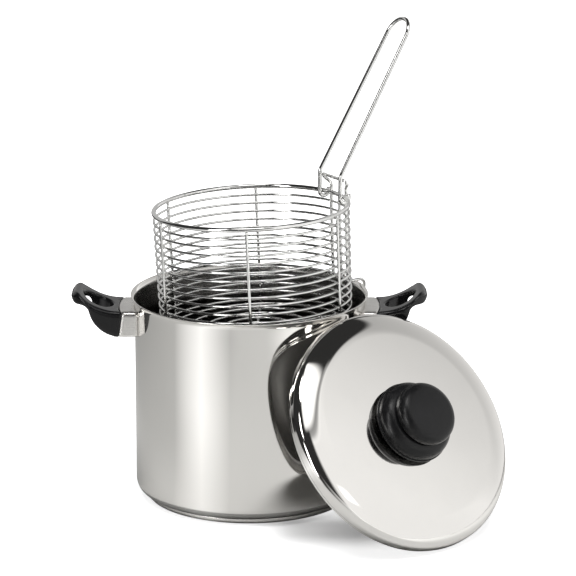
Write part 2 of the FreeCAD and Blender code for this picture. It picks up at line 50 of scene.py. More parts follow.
MM = 0.001
MERGE, SLIVER = 1e-7, 1e-8     # points and edges closer than this are joined
ROUND, SMALL_ROUND = 256, 160  # grid columns round large and small turned pieces
WIRE_SIDES = 14                # grid columns round a wire
SIDE_RINGS, BOTTOM_RINGS, UPRIGHTS = 14, 5, 6
UPRIGHT_TURN = 2 * math.pi / UPRIGHTS
PLAY = 0.1 * MM                # gap between pieces that are pressed together
WELD = (0.75, 1.55, 1.35)      # half sizes of a weld spot in mm: out, along and up
LAMPS = (                      # name, place, aim, size in metres, power in watts
    ("key", (1.2, -0.7, 1.3), (0.0, 0.0, 0.1), 0.9, 24.0),
    ("window", (-1.3, -1.1, 1.2), (0.0, 0.0, 0.1), 0.9, 8.0),
    ("overhead", (0.0, -0.8, 2.0), (0.0, 0.0, 0.0), 2.0, 62.0))
# Patches of light that mirrors see: brightness, then start, end and soft edge of the azimuth in radians,
# 0 towards the camera and rising to the right, and of the sine of the elevation.
ROOM = {
    "window's lower pane": (7.0, (-0.855, -0.625, 0.03), (-0.35, 0.41, 0.02)),
    "window's upper pane": (7.0, (-0.855, -0.625, 0.03), (0.57, 0.78, 0.02)),
    "strip over the wall": (0.40, (0.47, 1.52, 0.05), (0.75, 0.80, 0.02)),
    "high panel": (1.3, (0.25, 1.40, 0.08), (0.81, 2.0, 0.02)),
    "small panel": (1.3, (0.62, 0.78, 0.05), (0.40, 0.50, 0.03)),
    "overhead patch": (7.0, (-1.05, 0.40, 0.08), (0.93, 0.985, 0.008)),
}
LENS, SENSOR, SIGHT = 194.2, 36.0, 20.0  # camera: two sizes in millimetres, and how far it sees in metres
CAMERA_PLACE, CAMERA_TILT = (0.0369, -2.8693, 0.9816), 74.83
TABLE_HALF, TABLE_TOP = 3.0, -0.0003


def length(size, about):
    """A size in metres, given here in millimetres."""
    return lambda label: bpy.props.FloatProperty(name=label, description=about, default=size * MM,
                                                 unit="LENGTH", precision=5)


def angle(degrees, about):
    return lambda label: bpy.props.FloatProperty(name=label, description=about, default=math.radians(degrees),
                                                 unit="ROTATION")


def ratio(value, about):
    return lambda label: bpy.props.FloatProperty(name=label, description=about, default=value)


def colour(value, about):
    return lambda label: bpy.props.FloatVectorProperty(name=label, description=about, default=value,
                                                       subtype="COLOR", min=0, max=1)


def place(point, about):
    return lambda label: bpy.props.FloatVectorProperty(name=label, description=about,
                                                       default=[p * MM for p in point],
                                                       subtype="TRANSLATION", unit="LENGTH", precision=6)


def named(group):
    """Make a group's properties, each named after its key."""
    for key, make in group.__annotations__.items():
        group.__annotations__[key] = make(key.replace("_", " ").capitalize())
    return group


@named
class PotSizes(bpy.types.PropertyGroup):
    """Sizes of the pot, its base and its side handles."""
    radius: length(110.0, "Outside of the straight wall")
    height: length(198.0, "Height of the lip's outer edge")
    wall: length(1.0, "Sheet thickness")
    corner: length(11.0, "Outside rounding between floor and wall")
    lip_bend: length(6.0, "Outside radius of the lip's bend")
    lip_angle: angle(65.0, "How far the lip is bent outwards")
    base_thickness: length(5.2, "Layered base below the pot's floor")
    base_radius: length(100.0, "Outside of the base's steel cap")
    base_skin: length(0.8, "Sheet thickness of the base's cap")
    base_edge: length(2.5, "Rounding of the base's lower edge")
    base_seam: length(0.3, "Groove between base and pot")


@named
class HandleSizes(bpy.types.PropertyGroup):
    """Sizes of the two moulded side handles and their steel ferrules."""
    half_width: length(30.0, "Half of the grip's width along the wall")
    root_top: length(187.5, "Height of the root's upper face")
    root_bottom: length(163.0, "Height of the root's lower face")
    level_end: length(122.0, "Distance from the axis where the top starts to rise")
    tip: length(170.0, "Distance of the tip from the pot's axis")
    tip_height: length(199.0, "Height of the middle of the round tip")
    tip_radius: length(5.5, "Radius of the round tip")
    under_radius: length(31.0, "Radius of the full belly below the root")
    hollow_radius: length(8.0, "Radius of the hollow below the tip")
    corner: length(23.0, "Plan rounding of the outer corners")
    edge: length(2.0, "Softening of the moulding's edges")
    crest: length(4.5, "Rounding of the upper outer edge")
    joint_top: length(124.5, "Distance of the raked joint at the upper face")
    joint_bottom: length(128.0, "Distance of the raked joint at the lower face")
    slot_centre: length(144.5, "Middle of the finger slot")
    slot_half_length: length(14.0, "Half of the finger slot, away from the pot")
    slot_half_width: length(17.0, "Half of the finger slot, along the wall")
    ferrule_wall: length(1.2, "Sheet thickness of the ferrule")


@named
class BasketSizes(bpy.types.PropertyGroup):
    """Sizes of the wire basket, its hanger and its folding handle."""
    centre: place((1.69356, 3.8503, 282.083), "Middle of the top ring")
    azimuth: angle(28.0, "Side of the basket that carries the handle")
    lean: angle(2.6, "How far the basket's top leans over")
    lean_side: angle(164.0, "Side that the basket's top leans towards")
    ring_radius: length(92.8, "Centre line of the top ring")
    ring_wire: length(4.4, "Diameter of the top ring's wire")
    side_wire: length(2.4, "Diameter of the side and bottom rings' wire")
    upright_wire: length(2.8, "Diameter of the uprights")
    upright_offset: length(3.1, "How far outside the top ring the uprights stand")
    first_drop: length(8.8, "From the top ring to the first side ring")
    pitch: length(8.1, "Between side rings")
    taper: ratio(0.014, "Narrowing per unit of depth")
    bottom_drop: length(6.0, "From the last side ring to the bottom")
    bottom_inner: length(15.0, "Radius of the innermost bottom ring")
    bottom_bend: length(6.0, "Bend of the uprights into the bottom")
    touch: length(0.05, "Distance between crossing wires")
    hanger_wire: length(3.2, "Diameter of the hanger's wire")
    hanger_half: length(14.5, "Half of the distance between the hanger's legs")
    hanger_bend: length(4.5, "Bend radius of the hook")
    bar_rise: length(16.5, "Height of the handle's stop bar over the top ring")
    bar_half: length(30.0, "Half of the stop bar's length")
    bar_bend: length(3.0, "Bend radius at the stop bar's ends")
    arm_rise: length(8.0, "Where the stop bar's arms start to spread")
    hook_below: length(84.4, "From the top ring down to the hook's bridge")
    hook_seat: length(107.04, "Distance of the hook's seat from the basket's axis")
    hook_over: length(4.6, "From the seat to the hook's outer legs")
    hook_drop: length(11.0, "Length of the hook's outer legs")
    handle_wire: length(4.0, "Diameter of the folding handle's wire")
    handle_half: length(20.5, "Half of the distance between the handle's legs")
    handle_end: length(17.2, "Half of the handle's width at its round end")
    handle_clear: length(0.75, "Play of the handle's eyes on the top ring")
    handle_tip: length(3.0, "How far the eyes' ends stand above the ring's middle")
    handle_lower: angle(3.9, "Lean of the lower legs")
    handle_upper: angle(32.0, "Lean of the upper legs")
    handle_kink: length(21.0, "Height of the kink over the top ring")
    handle_leg: length(148.0, "Straight length of the upper legs")
    handle_bend: length(6.0, "Bend radius of the kink")
    stop_gap: length(0.3, "Between the resting legs and the stop bar")


@named
class LidSizes(bpy.types.PropertyGroup):
    """Sizes of the lid and its knob."""
    centre: place((136.7, -115.16, 94.0318), "Middle of the rim's plane")
    tilt: angle(54.4, "Turn of the lid from lying flat")
    azimuth: angle(-50.6, "Side that the leaning lid faces")
    rim: length(115.4, "Outside of the rim band")
    skirt: length(116.5, "Outside of the skirt above the band")
    band: length(4.0, "Height of the rim band")
    skirt_height: length(9.0, "Where the round corner starts")
    corner: length(8.0, "Rounding between skirt and shoulder")
    corner_angle: angle(62.0, "How far the corner turns before the shoulder")
    shoulder: length(52.0, "Radius of the broad shoulder")
    apex: length(24.5, "Height of the dome's crown")
    wall: length(0.8, "Sheet thickness")
    hole: length(3.0, "Radius of the hole below the knob")
    knob_foot: length(17.0, "Radius of the knob's foot")
    knob_flange: length(38.8, "Radius of the knob's flange")
    knob_neck: length(25.5, "Radius of the groove below the cap")
    knob_cap: length(30.0, "Radius of the knob's cap")
    knob_corner: length(9.5, "Soft rounding of the knob's cap")
    knob_height: length(38.0, "Height of the knob over the crown")


@named
class Finishes(bpy.types.PropertyGroup):
    """Colours of the fryer's finishes."""
    steel: colour((0.83, 0.815, 0.79), "Reflected colour of the pot and lid")
    satin: colour((0.80, 0.785, 0.76), "Reflected colour of the ferrules")
    wire: colour((0.86, 0.86, 0.85), "Reflected colour of the basket")
    bakelite: colour((0.006, 0.006, 0.0065), "Grips and knob")
    aluminium: colour((0.72, 0.72, 0.72), "Core of the base")
    brass: colour((0.74, 0.56, 0.26), "Threaded sleeve in the knob")
    floor: colour((0.80, 0.80, 0.80), "Table under the fryer")


GROUPS = {"fryer_pot": PotSizes, "fryer_handle": HandleSizes, "fryer_basket": BasketSizes,
          "fryer_lid": LidSizes, "fryer_finish": Finishes}


# Mesh helpers

def add_piece(name, body, slot, material, nodes, points, faces):
    """A mesh object at the origin that rides on a body and stands for CAD nodes, from whole
    arrays of points and four-cornered faces. Merging closes its seams and poles."""
    mesh = bpy.data.meshes.new(name)
    piece = bpy.data.objects.new(name, mesh)
    bpy.context.scene.collection.objects.link(piece)
    mesh.materials.append(material)
    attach(piece, body)
    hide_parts(*nodes)
    mesh.from_pydata(points.reshape(-1, 3).tolist(), [], faces.tolist())
    work = bmesh.new()
    work.from_mesh(mesh)
    bmesh.ops.remove_doubles(work, verts=work.verts, dist=MERGE)
    bmesh.ops.dissolve_degenerate(work, edges=work.edges, dist=SLIVER)
    bmesh.ops.recalc_face_normals(work, faces=work.faces)
    work.to_mesh(mesh)
    work.free()
    mesh.shade_smooth()
    mesh.update()
    if len(mesh.polygons) == 0:
        raise RuntimeError(name + " has no faces")


def around(count):
    """Evenly spaced angles of a full turn, in radians."""
    return np.linspace(0, 2 * np.pi, count, endpoint=False)


def joined(*parts):
    """Coordinates spread over one grid and put together as points."""
    return np.stack(np.broadcast_arrays(*parts), -1)


def unit(v):
    """Vectors shortened or stretched to length one."""
    return v / np.linalg.norm(v, axis=-1, keepdims=True)


def half_chord(radius, offset):
    """Half of a circle's chord at a distance from its middle: the root of the radius squared
    less the distance squared, and 0 outside the circle."""
    return np.sqrt(np.maximum(radius ** 2 - offset ** 2, 0))


def grid_faces(rows, columns, wrap_rows, wrap_columns):
    """Corner numbers of every cell of a grid, its last row or column joined to the first."""
    r = np.arange(rows if wrap_rows else rows - 1)[:, None]
    c = np.arange(columns if wrap_columns else columns - 1)[None, :]
    r2 = (r + 1) % rows
    c2 = (c + 1) % columns
    cells = [r * columns + c, r2 * columns + c, r2 * columns + c2, r * columns + c2]
    return joined(*cells).reshape(-1, 4)


def straight(a, b, count):
    """Evenly spaced points from a to just before b."""
    t = np.linspace(0, 1, count, endpoint=False)[:, None]
    return np.asarray(a, float) + t * (np.asarray(b, float) - np.asarray(a, float))


def bend(centre, radius, start, end, count):
    """Points on a circle from one angle in degrees to just before another."""
    t = np.radians(np.linspace(start, end, count, endpoint=False))
    return np.asarray(centre, float) + radius * np.stack([np.cos(t), np.sin(t)], -1)


def arc_through(a, b, c, count):
    """Points on the circle through a, b and c, from a to just before c. Its middle solves
    the two equations that say it is as far from a as from b and from c."""
    a, b, c = (np.asarray(p, float) for p in (a, b, c))
    centre = np.linalg.solve(2 * np.stack([b - a, c - a]), [b @ b - a @ a, c @ c - a @ a])
    start, end = (math.degrees(math.atan2(*(p - centre)[::-1])) for p in (a, c))
    return bend(centre, float(np.linalg.norm(a - centre)), start, end, count)


def crown_over(corner, radius, apex):
    """Radius of a crown about the axis that peaks at the apex and runs tangent into a round
    corner, and the angle in degrees where the two meet."""
    drop = apex - corner[1]
    crown = (corner[0] ** 2 + drop ** 2 - radius ** 2) / (2 * (drop - radius))
    return crown, math.degrees(math.acos(corner[0] / (crown - radius)))


def turned(profile, segments):
    """A closed profile of radius and height carried round the Z axis: the radius times
    cosine and sine of the turn, and the height."""
    t = around(segments)
    r, z = profile[:, :1], profile[:, 1:]
    return joined(r * np.cos(t), r * np.sin(t), z), grid_faces(len(profile), segments, True, True)


def bent_path(points, radii, step):
    """Points along straight runs joined by tangent arcs: about one step apart on the arcs
    and four on the runs."""
    points = np.asarray(points, float)
    pieces = []
    start = points[0]
    for before, corner, after, radius in zip(points, points[1:], points[2:], radii):
        inward, outward = unit(before - corner), unit(after - corner)
        half = math.acos(float(np.clip(inward @ outward, -1, 1))) / 2
        reach = radius / math.tan(half)
        first = corner + inward * reach
        centre = corner + unit(inward + outward) * radius / math.sin(half)
        side = (first - centre) / radius
        sweep = math.pi - 2 * half
        gap = float(np.linalg.norm(first - start))
        if gap > MERGE:
            pieces.append(straight(start, first, max(1, round(gap / (4 * step)))))
        t = np.linspace(0, sweep, max(3, round(radius * sweep / step)), endpoint=False)[:, None]
        pieces.append(centre + radius * (np.cos(t) * side - np.sin(t) * inward))
        start = corner + outward * reach
    gap = float(np.linalg.norm(points[-1] - start))
    run = straight(start, points[-1], max(1, round(gap / (4 * step))))
    return np.concatenate(pieces + [run, points[-1:]])


def round_ends(path, radius):
    """A path and its radius at each point, with a quarter-circle fall of the radius
    over the last stretch at both ends, so that the wire closes in a dome."""
    t = np.linspace(0, np.pi / 2, 5)[:-1]
    ease = 0.4 * radius
    rise = (ease * (1 - np.cos(t)))[:, None]
    a, b = unit(path[1] - path[0]), unit(path[-2] - path[-1])
    body = path.copy()
    body[0] += a * ease
    body[-1] += b * ease
    line = np.concatenate([path[0] + a * rise, body, (path[-1] + b * rise)[::-1]])
    sizes = np.concatenate([radius * np.sin(t), np.full(len(body), radius), radius * np.sin(t)[::-1]])
    return line, sizes


def tube(path, sizes):
    """A round wire: at each path point a circle of that size, square to the path. The
    circle's axes are the cross products of the path's direction with a fixed slanted line."""
    ahead = np.roll(path, -1, 0) - np.roll(path, 1, 0)
    ahead[0] = path[1] - path[0]
    ahead[-1] = path[-1] - path[-2]
    ahead = unit(ahead)
    one = unit(np.cross(ahead, (0.531, 0.357, 0.769)))
    two = np.cross(ahead, one)
    t = around(WIRE_SIDES)[None, :, None]
    points = path[:, None] + sizes[:, None, None] * (np.cos(t) * one[:, None] + np.sin(t) * two[:, None])
    return points, grid_faces(len(path), WIRE_SIDES, False, True)


def turn_about(axis, radians):
    """Matrix that turns points about X, Y or Z by an angle in radians."""
    c, s = math.cos(radians), math.sin(radians)
    i, j = {"X": (1, 2), "Y": (2, 0), "Z": (0, 1)}[axis]
    m = np.eye(3)
    m[i, i] = m[j, j] = c
    m[j, i], m[i, j] = s, -s
    return m


def basket_turn(b):
    """Turn about Z to the handle's side, then lean towards the lean side."""
    lean = turn_about("Z", b.lean_side) @ turn_about("Y", b.lean) @ turn_about("Z", -b.lean_side)
    return lean @ turn_about("Z", b.azimuth)


def in_basket(b, points):
    """Points of the upright basket, top ring at height 0 and handle on +X, in their place."""
    return points @ basket_turn(b).T + np.array(b.centre)


def in_lid(s, points):
    """Points of the level lid, rim plane at height 0, in the leaning lid's place."""
    return points @ (turn_about("Z", s.azimuth) @ turn_about("Y", s.tilt)).T + np.array(s.centre)


# Shader helpers

class Shade:
    """A shader value: one output socket, with operators that add Math nodes."""
    def __init__(self, tree, socket):
        self.tree = tree
        self.socket = socket

    def node(self, kind, settings=None, inputs=None, output=0):
        """Add a node of a type, its settings first, then its sockets' values or links."""
        made = self.tree.nodes.new(kind)
        for key, value in (settings or {}).items():
            setattr(made, key, value)
        for key, value in (inputs or {}).items():
            if isinstance(value, Shade):
                self.tree.links.new(value.socket, made.inputs[key])
            else:
                made.inputs[key].default_value = value
        return Shade(self.tree, made.outputs[output]) if len(made.outputs) else None

    def math(self, operation, *others):
        values = dict(enumerate((self,) + others))
        return self.node("ShaderNodeMath", {"operation": operation}, values)

    def __add__(self, other):
        return self.math("ADD", other)

    __radd__ = __add__

    def __sub__(self, other):
        return self.math("SUBTRACT", other)

    def __rsub__(self, other):
        return self.node("ShaderNodeMath", {"operation": "SUBTRACT"}, {0: other, 1: self})

    def __rtruediv__(self, other):
        return self.node("ShaderNodeMath", {"operation": "DIVIDE"}, {0: other, 1: self})

    def __mul__(self, other):
        return self.math("MULTIPLY", other)

    __rmul__ = __mul__

    def __truediv__(self, other):
        return self.math("DIVIDE", other)

    def step(self, low, high):
        """0 below low, 1 above high, and a smooth rise between."""
        return self.node("ShaderNodeMapRange", {"interpolation_type": "SMOOTHSTEP"},
                         {0: self, 1: low, 2: high, 3: 0.0, 4: 1.0})

    def band(self, low, high, soft):
        """1 between low and high, with soft edges."""
        return self.step(low - soft, low + soft) * (1 - self.step(high - soft, high + soft))

    def mix(self, first, second):
        """Colours mixed by this value."""
        return self.node("ShaderNodeMix", {"data_type": "RGBA"}, {0: self, 6: first, 7: second}, 2)

    def axis(self, letter):
        return self.node("ShaderNodeSeparateXYZ", None, {0: self}, "XYZ".index(letter))

    def noise(self, scale, detail=2.0, rough=0.5, stretch=None):
        """Noise on this position, stretched along the axes if asked."""
        where = self
        if stretch:
            where = self.node("ShaderNodeMapping", {"vector_type": "POINT"}, {0: self, 3: stretch})
        return self.node("ShaderNodeTexNoise", None,
                         {"Vector": where, "Scale": scale, "Detail": detail, "Roughness": rough})

    def rings(self, scale, detail):
        """Noise on this number alone."""
        return self.node("ShaderNodeTexNoise", {"noise_dimensions": "1D"},
                         {"W": self, "Scale": scale, "Detail": detail})

    def size(self):
        """Length of this vector."""
        return self.node("ShaderNodeVectorMath", {"operation": "LENGTH"}, {0: self}, 1)

    def from_axis(self):
        """Distance of this position from its Z axis."""
        level = {0: self, 1: (1.0, 1.0, 0.0)}
        return self.node("ShaderNodeVectorMath", {"operation": "MULTIPLY"}, level).size()


def empty_tree(owner, coordinates):
    """Clear the nodes of a material or a world; returns a starting value on its coordinates."""
    owner.use_nodes = True
    tree = owner.node_tree
    tree.nodes.clear()
    return Shade(tree, tree.nodes.new("ShaderNodeTexCoord").outputs[coordinates])


def ray_kinds(at):
    """Whether a ray comes from the camera, from a mirror or through a clear surface: 1 or 0."""
    return [at.node("ShaderNodeLightPath", None, None, "Is %s Ray" % kind)
            for kind in ("Camera", "Glossy", "Transmission")]


def empty_material(name):
    """A material without shader, made once, and a starting value on Object coordinates."""
    material = bpy.data.materials.get(name) or bpy.data.materials.new(name)
    return material, empty_tree(material, "Object")


def finished(material, at, **sockets):
    """End a material in a Principled shader with these sockets; an underscore in a name
    stands for a space."""
    inputs = {name.replace("_", " "): value for name, value in sockets.items()}
    shader = at.node("ShaderNodeBsdfPrincipled", None, inputs)
    shader.node("ShaderNodeOutputMaterial", None, {0: shader})
    return material


def bumped(height, strength, distance):
    return height.node("ShaderNodeBump", None, {"Strength": strength, "Distance": distance, "Height": height})


def shades(tint, *factors):
    """A colour made darker or lighter by each factor."""
    return [tuple(min(1.0, c * factor) for c in tint) + (1.0,) for factor in factors]


def pot_steel(finish, p):
    """Mirror-polished sheet, buffed round the pot: fine level lines, a few faint wipe
    marks, a slightly duller and darker ring near the base, and a softer inside painted dark as shade."""
    material, at = empty_material("polished_pot_steel")
    # dark is a painted shade tint: it stands in for the shade inside the pot.
    sheen, worn, dark = shades(finish.steel, 1.0, 0.93, 0.42)
    lines = at.noise(1.0, 3.0, 0.6, (6.0, 6.0, 2600.0))
    wipes = at.noise(14.0, 4.0, 0.55, (1.0, 1.0, 0.45))
    low = 1 - at.axis("Z").step(0.004, 0.022)
    inside = 1 - at.from_axis().step(p.radius - 0.6 * p.wall, p.radius - 0.2 * p.wall)
    tone = (wipes.step(0.35, 0.75) * 0.45 + low * 0.35).mix(sheen, worn)
    # Painted shade: the inside is mixed to the dark tint. Its extra roughness is the softer satin inside.
    return finished(material, at, Base_Color=inside.mix(tone, dark), Metallic=1.0, Anisotropic=0.85,
                    Roughness=0.02 + lines * 0.02 + wipes * 0.03 + low * 0.03 + inside * 0.22,
                    Normal=bumped(lines, 0.004, 0.0002))


def base_steel(finish):
    """Base cap: turned lines round the axis, duller from standing on the hob."""
    material, at = empty_material("base_cap_steel")
    rings = at.from_axis().rings(1800.0, 2.0)
    under = 1 - at.axis("Z").step(0.0002, 0.0012)
    scuffs = at.noise(60.0, 5.0, 0.6)
    tone = (scuffs.step(0.45, 0.8) * under * 0.7).mix(*shades(finish.steel, 0.92, 0.66))
    return finished(material, at, Base_Color=tone, Metallic=1.0,
                    Roughness=0.2 + rings * 0.08 + under * scuffs * 0.25, Normal=bumped(rings, 0.15, 0.0002))


def lid_steel(finish, s):
    """Polished lid: faint rings round its crown in the lid's own frame, light wipe marks,
    and a softer underside, painted dark as shade, where the surface faces against the lid's axis."""
    material, at = empty_material("polished_lid_steel")
    # dark is a painted shade tint for the lid's underside.
    sheen, worn, dark = shades(finish.steel, 1.0, 0.94, 0.45)
    own = at.node("ShaderNodeMapping", {"vector_type": "TEXTURE"},
                  {0: at, 1: tuple(s.centre), 2: (0.0, s.tilt, s.azimuth)})
    rings = own.from_axis().rings(2200.0, 3.0)
    wipes = own.noise(16.0, 4.0, 0.55)
    axis = (math.sin(s.tilt) * math.cos(s.azimuth), math.sin(s.tilt) * math.sin(s.azimuth), math.cos(s.tilt))
    normal = at.node("ShaderNodeNewGeometry", None, None, "Normal")
    facing = at.node("ShaderNodeVectorMath", {"operation": "DOT_PRODUCT"}, {0: normal, 1: axis}, 1)
    # Painted shade: where the surface faces against the lid's axis the colour is mixed to the dark tint. Its
    # extra roughness is a softer satin finish.
    under = 1 - facing.step(-0.30, -0.10)
    tone = (wipes.step(0.4, 0.8) * 0.5).mix(sheen, worn)
    return finished(material, at, Base_Color=under.mix(tone, dark), Metallic=1.0,
                    Roughness=0.02 + rings * 0.02 + wipes * 0.04 + under * 0.15,
                    Normal=bumped(rings, 0.004, 0.0002))


def wire_chrome(finish):
    """Bright chrome on drawn wire: a little mottling in the gloss and faint drawing marks."""
    material, at = empty_material("chromed_wire")
    mottle = at.noise(240.0, 3.0, 0.6)
    drift = at.noise(22.0, 2.0, 0.5)
    tone = (drift.step(0.3, 0.8) * 0.6).mix(*shades(finish.wire, 1.0, 0.84))
    return finished(material, at, Base_Color=tone, Metallic=1.0,
                    Roughness=0.01 + mottle * 0.02 + drift * 0.02, Normal=bumped(mottle, 0.004, 0.0002))


def weld_chrome(finish):
    """Plated weld spots: greyer and rougher than the wire."""
    material, at = empty_material("plated_welds")
    grain = at.noise(900.0, 3.0, 0.6)
    tone = grain.step(0.3, 0.7).mix(*shades(finish.wire, 0.72, 0.52))
    return finished(material, at, Base_Color=tone, Metallic=1.0, Roughness=0.22 + grain * 0.2,
                    Normal=bumped(grain, 0.4, 0.0004))


def moulding(finish, name, grain, flow, marks, rough, dulling, specular, relief):
    """Phenolic moulding: deep black with fine grain, flow mottling and a few finger marks
    that dull the gloss. Flow is a noise; marks are a noise's scale and the step it passes."""
    material, at = empty_material(name)
    fine = at.noise(grain, 2.0, 0.5)
    mottle = at.noise(*flow)
    fingers = at.noise(marks[0], 3.0, 0.5).step(*marks[1:])
    tone = (mottle.step(0.35, 0.75) * 0.8).mix(*shades(finish.bakelite, 1.0, 1.4))
    return finished(material, at, Base_Color=tone, Roughness=rough + mottle * dulling + fingers * dulling,
                    Specular_IOR_Level=specular, Normal=bumped(fine, relief, 0.0001))


def black_moulding(finish):
    """The grips' moulding, with a soft gloss."""
    return moulding(finish, "black_moulding", grain=1500.0, flow=(45.0, 4.0, 0.6), marks=(70.0, 0.52, 0.72),
                    rough=0.12, dulling=0.05, specular=0.34, relief=0.02)


def satin_knob(finish):
    """The knob's moulding, with a satin skin."""
    return moulding(finish, "satin_knob_moulding", grain=1800.0, flow=(60.0, 3.0, 0.6),
                    marks=(85.0, 0.50, 0.74), rough=0.26, dulling=0.06, specular=0.30, relief=0.03)


def satin_ferrule(finish):
    """Pressed steel, brushed along the handle: fine streaks, darker where it is rubbed."""
    material, at = empty_material("satin_ferrule_steel")
    streaks = at.noise(1.0, 3.0, 0.65, (40.0, 2400.0, 2400.0))
    rub = at.noise(60.0, 3.0, 0.5)
    tone = (rub.step(0.35, 0.7) * 0.6 + streaks * 0.25).mix(*shades(finish.satin, 1.0, 0.86))
    return finished(material, at, Base_Color=tone, Metallic=1.0,
                    Roughness=0.2 + streaks * 0.12 + rub * 0.06, Normal=bumped(streaks, 0.12, 0.0003))


def plain_metal(name, tint, rough):
    """Inner metal pieces: machining marks and a blotchy, duller surface."""
    material, at = empty_material(name)
    marks = at.noise(700.0, 3.0, 0.6)
    dull = at.noise(90.0, 3.0, 0.5)
    tone = dull.step(0.3, 0.8).mix(*shades(tint, 1.0, 0.74))
    return finished(material, at, Base_Color=tone, Metallic=1.0, Roughness=rough + marks * 0.12,
                    Normal=bumped(marks, 0.15, 0.0003))


# Pieces

class FRYER_OT_pot(bpy.types.Operator):
    """Make the drawn pot: floor, round corner, wall and bent lip with a rounded edge"""
    bl_idname = "fryer.pot"
    bl_label = "Pot"

    def execute(self, context):
        p = context.scene.fryer_pot
        floor = p.base_thickness
        corner = (p.radius - p.corner, floor + p.corner)
        rise = p.lip_bend * math.sin(p.lip_angle)
        lip = (p.radius + p.lip_bend, p.height - rise)
        end = 180 - math.degrees(p.lip_angle)
        edge = bend(lip, p.lip_bend + p.wall / 2, end, end, 1)[0]
        wall_out, wall_in = p.radius, p.radius - p.wall
        profile = np.concatenate([
            straight((0, floor), (corner[0], floor), 8),
            bend(corner, p.corner, -90, 0, 14),
            straight((wall_out, corner[1]), (wall_out, lip[1]), 24),
            bend(lip, p.lip_bend, 180, end, 14),
            bend(edge, p.wall / 2, end - 180, end, 8),
            bend(lip, p.lip_bend + p.wall, end, 180, 14),
            straight((wall_in, lip[1]), (wall_in, corner[1]), 24),
            bend(corner, p.corner - p.wall, 0, -90, 14),
            straight((corner[0], floor + p.wall), (0, floor + p.wall), 8),
            [(0, floor + p.wall)]])
        add_piece("pot", "pot", "polished_steel", pot_steel(context.scene.fryer_finish, p), ["pot_shell"],
                  *turned(profile, ROUND))
        return {"FINISHED"}


class FRYER_OT_base(bpy.types.Operator):
    """Make the base's steel cap: a shallow cup with a rounded lower edge"""
    bl_idname = "fryer.base"
    bl_label = "Base"

    def execute(self, context):
        p = context.scene.fryer_pot
        edge = (p.base_radius - p.base_edge, p.base_edge)
        top = p.base_thickness - p.base_seam
        inner = p.base_radius - p.base_skin
        lip = (p.base_radius - p.base_skin / 2, top - p.base_skin / 2)
        profile = np.concatenate([
            straight((0, 0), (edge[0], 0), 10),
            bend(edge, p.base_edge, -90, 0, 10),
            straight((p.base_radius, p.base_edge), (p.base_radius, lip[1]), 3),
            bend(lip, p.base_skin / 2, 0, 180, 8),
            straight((inner, lip[1]), (inner, p.base_skin), 3),
            straight((inner, p.base_skin), (0, p.base_skin), 4),
            [(0, p.base_skin)]])
        steel = base_steel(context.scene.fryer_finish)
        add_piece("base_cap_turned", "pot", "polished_steel", steel, ["base_cap"], *turned(profile, ROUND))
        return {"FINISHED"}


def round_rectangle(half_width, half_height, upper, lower, count):
    """Outline of a rectangle with round corners of one radius above and one below: a
    circle's quarter at each corner, count points to each, with the flats filled in."""
    w, h = half_width, half_height
    return np.concatenate([
        bend((w - upper, h - upper), upper, 0, 90, count),
        straight((w - upper, h), (upper - w, h), 3 * count),
        bend((upper - w, h - upper), upper, 90, 180, count),
        straight((-w, h - upper), (-w, lower - h), 3 * count),
        bend((lower - w, lower - h), lower, 180, 270, count),
        straight((lower - w, -h), (w - lower, -h), 3 * count),
        bend((w - lower, lower - h), lower, 270, 360, count),
        straight((w, lower - h), (w, h - upper), 3 * count)])


def joint_distance(h, z):
    """Distance from the pot's axis of the raked joint between ferrule and grip at a height."""
    share = (h.root_top - z) / (h.root_top - h.root_bottom)
    return h.joint_top + (h.joint_bottom - h.joint_top) * share


def ferrule_points(h, pot_radius):
    """Sleeve between two surfaces: a round-cornered outline carried from the pot's wall to
    the raked joint, out along the outer skin and back along the inner one. The skin's two
    ends are drawn in a little, and the rows next to them are eased along."""
    middle = (h.root_top + h.root_bottom) / 2
    half_height = (h.root_top - h.root_bottom) / 2
    along = np.concatenate([np.linspace(0, 1, 9), np.linspace(1, 0, 9)])
    inset = np.concatenate([[0.35], np.zeros(7), [0.35], np.ones(9)]) * h.ferrule_wall
    ease = np.concatenate([[0.0, 0.25], np.zeros(5), [-0.25], np.zeros(10)]) * h.ferrule_wall / 2
    rows = []
    for share, drawn, shift in zip(along, inset, ease):
        outline = round_rectangle(h.half_width - drawn, half_height - drawn,
                                  h.crest - drawn / 2, h.edge - drawn / 2, 10)
        y, z = outline[:, 0], outline[:, 1] + middle
        near = half_chord(pot_radius + PLAY, y)
        far = half_chord(joint_distance(h, z) - PLAY, y)
        rows.append(np.stack([near + (far - near) * share + shift, y, z], -1))
    points = np.stack(rows)
    return points, grid_faces(points.shape[0], points.shape[1], True, True)


def grip_top(h, x):
    """Height of the grip's upper face: level, then a hollow sweep that runs tangent into
    the circle of the tip."""
    run = h.tip - h.tip_radius - h.level_end
    climb = h.tip_height - h.root_top
    sweep = (run ** 2 + climb ** 2 - h.tip_radius ** 2) / (2 * (climb + h.tip_radius))
    meet = h.level_end + run * sweep / (sweep + h.tip_radius)
    rising = h.root_top + sweep - half_chord(sweep, np.maximum(x - h.level_end, 0))
    over = h.tip_height + half_chord(h.tip_radius, x - h.tip + h.tip_radius)
    return np.where(x < meet, rising, over)


def grip_bottom(h, x):
    """Height of the grip's lower face: level, the belly's circle, the hollow's circle and
    the circle of the tip, each tangent to the next."""
    belly_z = h.root_bottom + h.under_radius
    hollow_z = h.tip_height - h.tip_radius - h.hollow_radius
    reach = h.under_radius + h.hollow_radius
    lean = math.asin((hollow_z - belly_z) / reach)
    belly_end = h.level_end + h.under_radius * math.cos(lean)
    hollow_x = h.level_end + reach * math.cos(lean)
    belly = belly_z - half_chord(h.under_radius, np.maximum(x - h.level_end, 0))
    hollow = hollow_z + half_chord(h.hollow_radius, x - hollow_x)
    tip = h.tip_height - half_chord(h.tip_radius, np.maximum(x - h.tip + h.tip_radius, 0))
    return np.where(x < belly_end, belly, np.where(x < hollow_x, hollow, tip))


